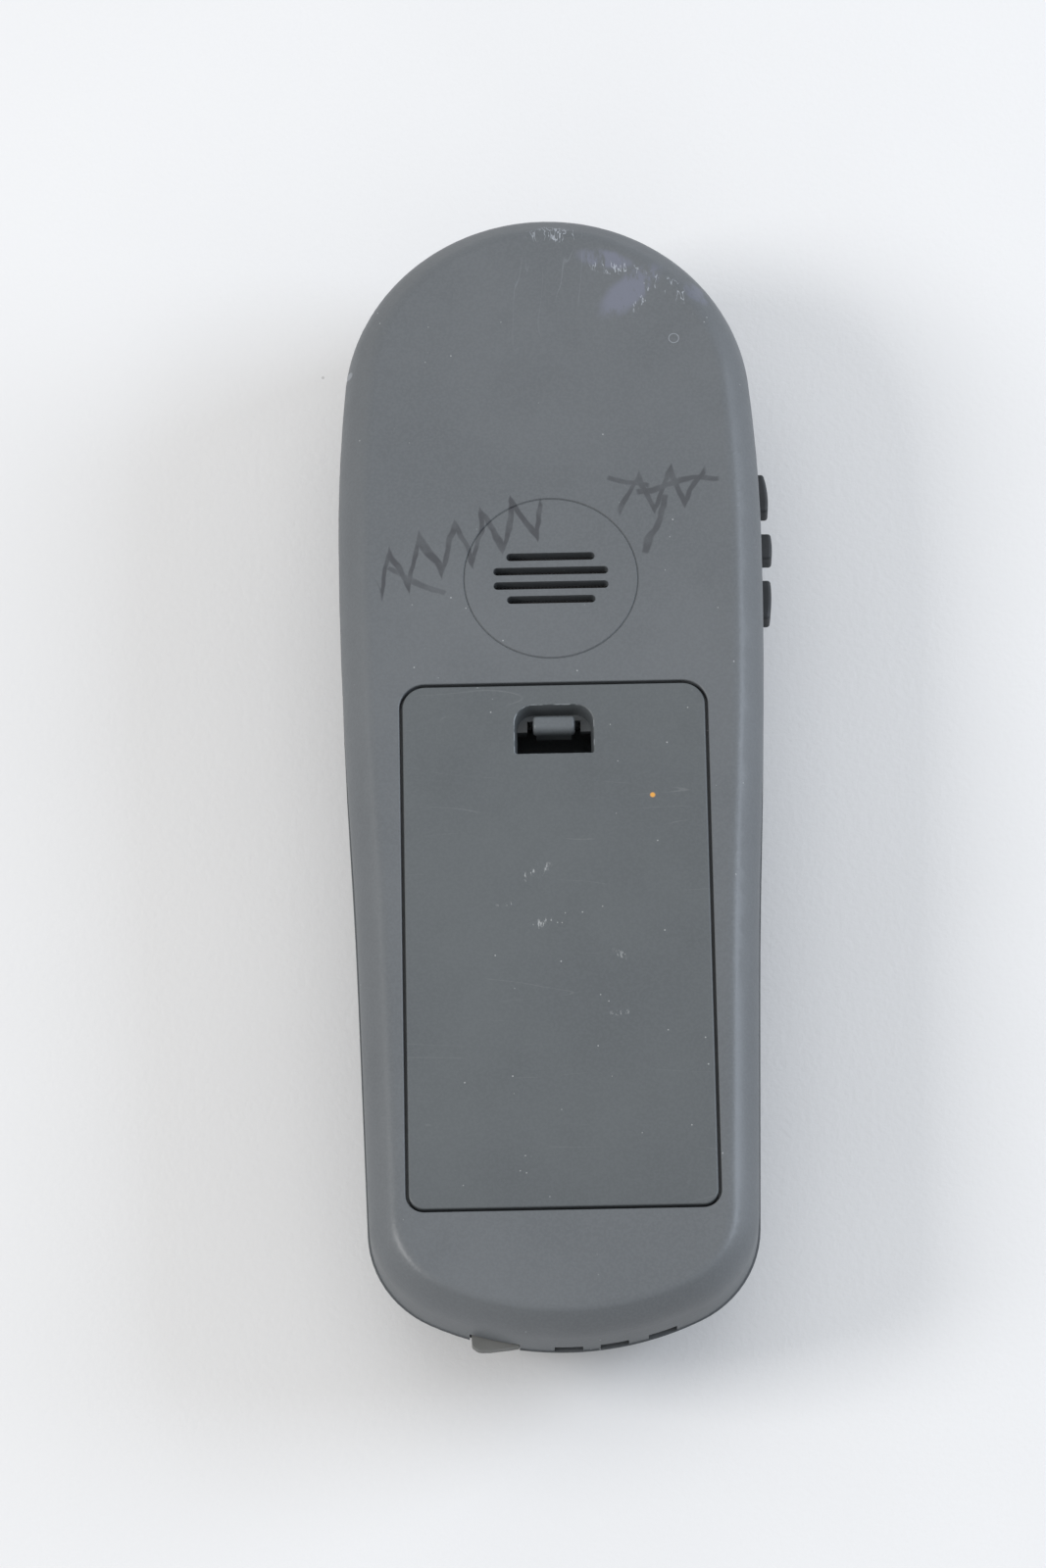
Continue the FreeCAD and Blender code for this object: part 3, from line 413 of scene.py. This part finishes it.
def weaveFinish(name, tone, pitch):
    finish = Finish(name, Specular_IOR_Level=0.2, Sheen_Weight=0.15)
    x, y = finish.axes()[:2]
    turns = 2.0 * math.pi / pitch
    threads = (x * turns).wave() * (y * turns).wave()
    fuzz = finish.noise(pitch * 0.6, 2.0)
    finish.link("Base Color", finish.mix(threads.ramp(-0.4, 0.6), [c * 0.4 for c in tone], tone))
    finish.link("Roughness", 0.82 + 0.12 * fuzz)
    finish.link("Normal", finish.bump(threads * 0.5 + fuzz * 0.4, 0.08))
    return finish.material


def glossFinish(name, tone, dark):
    finish = Finish(name, Specular_IOR_Level=0.5, Coat_Weight=0.5, Coat_Roughness=0.08)
    cloud = finish.noise(5.0, 3.0)
    fine = finish.noise(0.5, 2.0, shift=0.03)
    finish.link("Base Color", finish.mix(cloud.ramp(0.35, 0.7), tone, dark))
    finish.link("Roughness", 0.16 + 0.10 * cloud + 0.04 * fine)
    finish.link("Normal", finish.bump(cloud + fine * 0.2, 0.02))
    return finish.material


windowPrint = {
    "edge": 2.3,          # how far the print reaches in over the display panel, mm
    "fade": 0.1,
    "black": (0.010, 0.010, 0.012),
}


def lensFinish(name):
    # clear window with hairline scratches, printed black from behind round the display
    finish = Finish(name, IOR=1.49, Transmission_Weight=0.92, Specular_IOR_Level=0.5)
    x, y = finish.axes()[:2]
    low, high = [corner / mm for corner in map(Vector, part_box("display_panel"))]
    mid = (low + high) / 2
    halfWidth = high.x - mid.x - windowPrint["edge"]
    halfHeight = high.y - mid.y - windowPrint["edge"]
    border = abs(x - mid.x).ramp(halfWidth, halfWidth + windowPrint["fade"])
    border = border.most(abs(y - mid.y).ramp(halfHeight, halfHeight + windowPrint["fade"]))
    hairline = finish.noise(3.0, 2.0, (1.0, 0.1, 1.0), 0.5, 0.4)
    worn = abs(hairline - 0.5).ramp(0.008, 0.002)
    colour = finish.mix(worn * 0.4, (0.90, 0.93, 0.94), (0.70, 0.72, 0.73))
    finish.link("Base Color", finish.mix(border, colour, windowPrint["black"]))
    finish.link("Roughness", 0.04 + 0.20 * worn + 0.05 * finish.noise(9.0, 2.0))
    finish.link("Normal", finish.bump(worn, 0.004))
    return finish.material


def displayFinish(name):
    # reflective grey-green panel with faint rows of dots
    finish = Finish(name, Specular_IOR_Level=0.5)
    x, y = finish.axes()[:2]
    dotPitch = 0.55
    turns = 2.0 * math.pi / dotPitch
    dots = abs((x * turns).wave()).most(abs((y * turns).wave())).ramp(0.96, 0.99)
    cloud = finish.noise(9.0, 2.0)
    colour = finish.mix(cloud.ramp(0.3, 0.7), (0.300, 0.345, 0.250), (0.265, 0.310, 0.225))
    finish.link("Base Color", finish.mix(dots * 0.18, colour, (0.14, 0.17, 0.12)))
    finish.link("Roughness", 0.22 + 0.12 * cloud)
    finish.link("Normal", finish.bump(dots, 0.01))
    return finish.material


sleevePrint = {
    "middle": -30.2,      # y between the two printed stripes, mm
    "near": 6.0,          # a stripe's edges, from the middle
    "far": 7.0,
    "fade": 0.1,
}


def wrapFinish(name):
    # heat-shrunk sleeve: tight crosswise creases, two printed stripes
    finish = Finish(name, Coat_Weight=0.35, Coat_Roughness=0.15)
    away = abs(finish.axes()[1] - sleevePrint["middle"])
    crease = finish.noise(2.6, 4.0, (0.35, 1.0, 0.35), 0.6)
    stripe = away.ramp(sleevePrint["far"], sleevePrint["far"] - sleevePrint["fade"])
    stripe = stripe * away.ramp(sleevePrint["near"] - sleevePrint["fade"], sleevePrint["near"])
    # the blue is darker in the crease hollows: painted shade
    colour = finish.mix(crease.ramp(0.3, 0.7), (0.020, 0.052, 0.170), (0.030, 0.072, 0.225))
    finish.link("Base Color", finish.mix(stripe, colour, (0.62, 0.64, 0.66)))
    finish.link("Roughness", 0.24 + 0.22 * crease)
    finish.link("Normal", finish.bump(crease, 0.12))
    return finish.material


def foamFinish(name):
    finish = Finish(name, Specular_IOR_Level=0.15)
    cell = finish.cells(0.55)
    # each pore is darker towards its middle, where the bump sinks: painted shade
    finish.link("Base Color", finish.mix(cell.ramp(0.1, 0.6), (0.012, 0.012, 0.013), (0.050, 0.050, 0.052)))
    finish.link("Roughness", 0.88 + 0.08 * cell)
    finish.link("Normal", finish.bump(cell, 0.20))
    return finish.material


def floorFinish(name):
    # white card with a very fine tooth
    finish = Finish(name, Specular_IOR_Level=0.25)
    tooth = finish.noise(0.9, 3.0)
    slow = finish.noise(70.0, 2.0)
    crumb = finish.cells(9.0).ramp(0.035, 0.02) * finish.noise(30.0, 1.0, shift=0.2).ramp(0.60, 0.64)
    colour = finish.mix(slow.ramp(0.3, 0.7), (0.805, 0.800, 0.798), (0.785, 0.780, 0.778))
    finish.link("Base Color", finish.mix(crumb * 0.5, colour, (0.35, 0.34, 0.33)))
    finish.link("Roughness", 0.82 + 0.08 * tooth)
    finish.link("Normal", finish.bump(tooth, 0.05))
    return finish.material


finishes = {
    "rear_shell": caseFinish("rear case", caseTones["rear"], backMarks),
    "front_shell": caseFinish("front case", caseTones["front"]),
    "battery_door": caseFinish("battery door", caseTones["door"], doorMarksAndPaintedLight),
    "latch": caseFinish("door latch", caseTones["latch"]),
    "key_rubber": rubberFinish("key mat", (0.30, 0.31, 0.32), (0.25, 0.26, 0.27)),
    "board": boardFinish("circuit board"),
    "lens": lensFinish("display window"),
    "display": displayFinish("display panel"),
    "frame_plastic": rubberFinish("black moulding", (0.022, 0.022, 0.024), (0.014, 0.014, 0.015), 0.3, 0.45),
    "chip": rubberFinish("chip moulding", (0.020, 0.020, 0.022), (0.012, 0.012, 0.013), 0.2, 0.55),
    "tin": metalFinish("tin plate", (0.62, 0.62, 0.60), (0.48, 0.46, 0.43)),
    "speaker": metalFinish("black lacquer", (0.070, 0.070, 0.075), (0.045, 0.045, 0.048), 0.35),
    "mesh_cloth": weaveFinish("acoustic cloth", (0.030, 0.030, 0.031), 0.5),
    "boot_rubber": rubberFinish("microphone boot", (0.030, 0.030, 0.030), (0.022, 0.022, 0.022)),
    "light_pipe": glossFinish("light pipe", (0.42, 0.060, 0.040), (0.34, 0.045, 0.030)),
    "contact_brass": metalFinish("contact brass", (0.78, 0.66, 0.48), (0.46, 0.38, 0.27), 0.42,
                                 (0.1, 1.0, 1.0)),
    "cover_rubber": rubberFinish("jack cover rubber", (0.175, 0.178, 0.172), (0.140, 0.143, 0.138), 0.25,
                                 0.70),
    "cell": metalFinish("cell can", (0.58, 0.58, 0.58), (0.46, 0.45, 0.44), 0.22),
    "battery_wrap": wrapFinish("battery sleeve"),
    "foam": foamFinish("door foam"),
    "screw_steel": metalFinish("zinc screw", (0.56, 0.56, 0.58), (0.40, 0.38, 0.35), 0.30, (1.0, 1.0, 0.1)),
    "key_grey": rubberFinish("dial key", (0.340, 0.350, 0.360), (0.300, 0.310, 0.320), 0.20, 0.60),
    "key_silver": rubberFinish("silver key", (0.42, 0.43, 0.45), (0.39, 0.40, 0.42), 0.15, 0.40),
    "talk_green": rubberFinish("talk key", (0.050, 0.250, 0.100), (0.040, 0.210, 0.085), 0.20, 0.58),
    "end_red": rubberFinish("end key", (0.380, 0.042, 0.034), (0.320, 0.034, 0.028), 0.20, 0.58),
    "side_key": rubberFinish("side key", (0.038, 0.041, 0.045), (0.028, 0.031, 0.034), 0.25, 0.50),
}

for part in frame["record"]["subparts"]:
    cadMesh = nodes[part["node"]].data
    cadMesh.materials.clear()
    cadMesh.materials.append(finishes[part["material_slot"]])
print("finishes set:", len(finishes))


def addPiece(name, mesh, body, finish):
    mesh.materials.clear()
    mesh.materials.append(finish)
    piece = bpy.data.objects.new(name, mesh)
    scene.collection.objects.link(piece)
    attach(piece, body)


def meshFrom(name, build):
    bm = bmesh.new()
    build(bm)
    bmesh.ops.recalc_face_normals(bm, faces=bm.faces)
    mesh = bpy.data.meshes.new(name)
    bm.to_mesh(mesh)
    bm.free()
    return mesh


def plate(bm, points, low, high):
    # a flat plate over a closed list of x, y points
    ring = [bm.verts.new((x, y, low)) for x, y in points]
    face = bm.faces.new(ring)
    made = bmesh.ops.extrude_face_region(bm, geom=[face])
    top = [v for v in made["geom"] if isinstance(v, bmesh.types.BMVert)]
    bmesh.ops.translate(bm, verts=top, vec=(0, 0, high - low))


def roundedPoints(width, height, radius, midX, midY):
    # an outline with round corners
    points = []
    steps = 8
    for turn, (sx, sy) in enumerate(((1, 1), (-1, 1), (-1, -1), (1, -1))):
        for k in range(steps + 1):
            a = math.pi / 2 * (turn + k / steps)
            points.append((midX + sx * (width / 2 - radius) + radius * math.cos(a),
                           midY + sy * (height / 2 - radius) + radius * math.sin(a)))
    return points


legendLook = {
    "digitHeight": 3.1,
    "fontScale": 1.38,    # font size for a digit one unit high
    "thickness": 0.012,   # of the print, half of it sunk into the key, mm
    "ink": (0.82, 0.83, 0.82),
}


def inkFinish(name, tone):
    finish = Finish(name, Specular_IOR_Level=0.4)
    worn = finish.noise(0.5, 3.0)
    finish.link("Base Color", finish.mix(worn.ramp(0.5, 0.75) * 0.4, tone, [c * 0.6 for c in tone]))
    finish.link("Roughness", 0.45 + 0.15 * worn)
    finish.link("Normal", finish.bump(worn, 0.004))
    return finish.material


whiteInk = inkFinish("white print", legendLook["ink"])
darkInk = inkFinish("dark print", (0.018, 0.020, 0.022))


def keyTop(node):
    # the middle of a key's outer face, which looks down
    low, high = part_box(node)
    return (low[0] + high[0]) / 2, (low[1] + high[1]) / 2, low[2]


def digitLegend(node, sign):
    # a printed digit on the outer face of a key, read from the front
    curve = bpy.data.curves.new("legend_" + node, "FONT")
    curve.body = sign
    curve.size = legendLook["digitHeight"] * legendLook["fontScale"] * mm
    curve.align_x = "CENTER"
    curve.align_y = "CENTER"
    curve.extrude = legendLook["thickness"] / 2 * mm
    curve.resolution_u = 6
    holder = bpy.data.objects.new("legend_holder", curve)
    scene.collection.objects.link(holder)
    bpy.context.view_layer.update()
    mesh = bpy.data.meshes.new_from_object(holder.evaluated_get(bpy.context.evaluated_depsgraph_get()))
    bpy.data.objects.remove(holder)
    x, y, z = keyTop(node)
    mesh.transform(Matrix.Translation((x, y, z)) @ Matrix.Rotation(math.pi, 4, "Y"))
    mesh.name = "legend_" + node
    addPiece("legend_" + node, mesh, node, darkInk)


for sign in "1234567890":
    digitLegend("key_" + sign, sign)
digitLegend("key_star", "*")
digitLegend("key_hash", "#")


signLook = {
    "outer": 2.3,         # radii of the bow, mm
    "inner": 1.5,
    "end": 1.05,          # radius inside the two thick ends
    "endSteps": 3,
    "steps": 14,
    "start": 0.16,        # angles in half turns
    "sweep": 0.68,
    "drop": 1.0,          # puts the bow in the middle of the key
    "stretch": 1.05,
}


def handsetSign(node, turn):
    # the usual handset outline: a bowed bar with two thick ends
    x, y, z = keyTop(node)
    steps = signLook["steps"]
    start = signLook["start"]
    sweep = signLook["sweep"]
    drop = signLook["drop"]
    points = []
    for k in range(steps + 1):
        a = math.pi * (start + sweep * k / steps)
        points.append((signLook["outer"] * math.cos(a), signLook["outer"] * math.sin(a) - drop))
    for k in range(steps + 1):
        a = math.pi * (start + sweep - sweep * k / steps)
        r = signLook["inner"] if signLook["endSteps"] < k < steps - signLook["endSteps"] else signLook["end"]
        points.append((r * math.cos(a) * signLook["stretch"], r * math.sin(a) - drop))
    c = math.cos(turn)
    s = math.sin(turn)
    outline = [(x - (px * c - py * s) * mm, y + (px * s + py * c) * mm) for px, py in points]
    half = legendLook["thickness"] / 2 * mm
    mesh = meshFrom("sign_" + node, lambda bm: plate(bm, outline, z - half, z + half))
    addPiece("sign_" + node, mesh, node, whiteInk)


handsetSign("talk_key", 0.6)
handsetSign("end_call_key", 0.0)


barLook = {"width": 4.2, "height": 0.6, "corner": 0.49}    # corner as a share of the height


def barSign(node):
    x, y, z = keyTop(node)
    width = barLook["width"] * mm
    height = barLook["height"] * mm
    half = legendLook["thickness"] / 2 * mm
    outline = roundedPoints(width, height, height * barLook["corner"], x, y)
    mesh = meshFrom("sign_" + node, lambda bm: plate(bm, outline, z - half, z + half))
    addPiece("sign_" + node, mesh, node, darkInk)


barSign("left_soft_key")
barSign("right_soft_key")


segmentLook = {
    "columns": 10,
    "pitch": 2.7,         # between figures, mm
    "rowGap": 3.2,        # from the display's middle to a row
    "height": 3.6,
    "width": 1.5,
    "bar": 0.30,
    "shorter": 1.2,       # what a bar gives up at its ends, in bar widths
    "below": 0.03,        # from the panel's face
    "thickness": 0.02,
    "tone": (0.17, 0.20, 0.14),
}


def displaySegments():
    # two rows of seven-segment figures, all faintly visible as on a switched-off display
    low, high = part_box("display_panel")
    z = low[2] - segmentLook["below"] * mm
    top = z + segmentLook["thickness"] * mm

    def bar(bm, x, y, w, h):
        corners = [(x + sx * w / 2, y + sy * h / 2) for sx, sy in ((-1, -1), (1, -1), (1, 1), (-1, 1))]
        plate(bm, corners, z, top)

    def build(bm):
        midY = (low[1] + high[1]) / 2
        w = segmentLook["width"] * mm
        h = segmentLook["height"] * mm
        t = segmentLook["bar"] * mm
        gap = t * segmentLook["shorter"]
        columns = segmentLook["columns"]
        for row in (-1, 1):
            for k in range(columns):
                x = (k - (columns - 1) / 2) * segmentLook["pitch"] * mm
                y = midY + row * segmentLook["rowGap"] * mm
                for step in (-1, 0, 1):
                    bar(bm, x, y + step * h / 2, w - gap, t)
                for side in (-1, 1):
                    for step in (-1, 1):
                        bar(bm, x + side * w / 2, y + step * h / 4, t, h / 2 - gap)

    faint = inkFinish("display segments", segmentLook["tone"])
    addPiece("display_segments", meshFrom("display_segments", build), "handset", faint)


displaySegments()
print("small pieces made")


tableLook = {"size": 3.0, "below": 0.00005}    # half its side and its gap under the handset, metres


def makeFloor():
    def build(bm):
        bmesh.ops.create_grid(bm, x_segments=2, y_segments=2, size=tableLook["size"])

    mesh = meshFrom("table", build)
    mesh.transform(Matrix.Translation((0, 0, -tableLook["below"])))
    for polygon in mesh.polygons:
        if polygon.normal.z < 0:
            polygon.flip()
    mesh.materials.append(floorFinish("white card"))
    floor = bpy.data.objects.new("table", mesh)
    scene.collection.objects.link(floor)


lamps = {
    "left": {"at": (-1.10, -0.10, 0.90), "size": 0.5, "power": 8.5, "colour": (1.0, 0.99, 0.98)},
    "cool": {"at": (1.20, 0.25, 0.65), "size": 0.7, "power": 10.0, "colour": (0.78, 0.87, 1.0)},
    "top": {"at": (0.0, 0.30, 1.55), "size": 1.3, "power": 3.4, "colour": (1.0, 1.0, 1.0)},
}
aim = Vector((0, 0, 0))
room = {"colour": (0.97, 0.985, 1.0), "strength": 0.59}


def makeLamps():
    for name, lamp in lamps.items():
        light = bpy.data.lights.new(name + " lamp", "AREA")
        light.shape = "SQUARE"
        light.size = lamp["size"]
        light.energy = lamp["power"]
        light.color = lamp["colour"]
        holder = bpy.data.objects.new(name + " lamp", light)
        holder.location = lamp["at"]
        holder.rotation_euler = (aim - Vector(lamp["at"])).to_track_quat("-Z", "Y").to_euler()
        scene.collection.objects.link(holder)
    world = bpy.data.worlds.new("room")
    scene.world = world
    world.use_nodes = True
    background = world.node_tree.nodes["Background"]
    background.inputs["Color"].default_value = (*room["colour"], 1.0)
    background.inputs["Strength"].default_value = room["strength"]


cameraLook = {
    "distance": 1.057,
    "elevation": 67.5,
    "roll": 1.1,
    "lens": 184.2,
    "sensor": 36.0,
    "clip": (0.05, 20.0),
    "target": (-0.0042, -0.0014, 0.0192),
}


def makeCamera():
    camera = bpy.data.cameras.new("camera")
    camera.sensor_width = cameraLook["sensor"]
    camera.lens = cameraLook["lens"]
    camera.clip_start, camera.clip_end = cameraLook["clip"]
    holder = bpy.data.objects.new("camera", camera)
    up = math.radians(cameraLook["elevation"])
    away = Vector((0.0, -math.cos(up), math.sin(up)))
    holder.location = Vector(cameraLook["target"]) + away * cameraLook["distance"]
    look = (-away).to_track_quat("-Z", "Y").to_matrix().to_4x4()
    look = look @ Matrix.Rotation(math.radians(-cameraLook["roll"]), 4, "Z")
    holder.rotation_euler = look.to_euler()
    scene.collection.objects.link(holder)
    scene.camera = holder


makeFloor()
makeLamps()
makeCamera()
scene.view_settings.view_transform = "Standard"
scene.view_settings.look = "None"
print("table, lamps and camera placed")
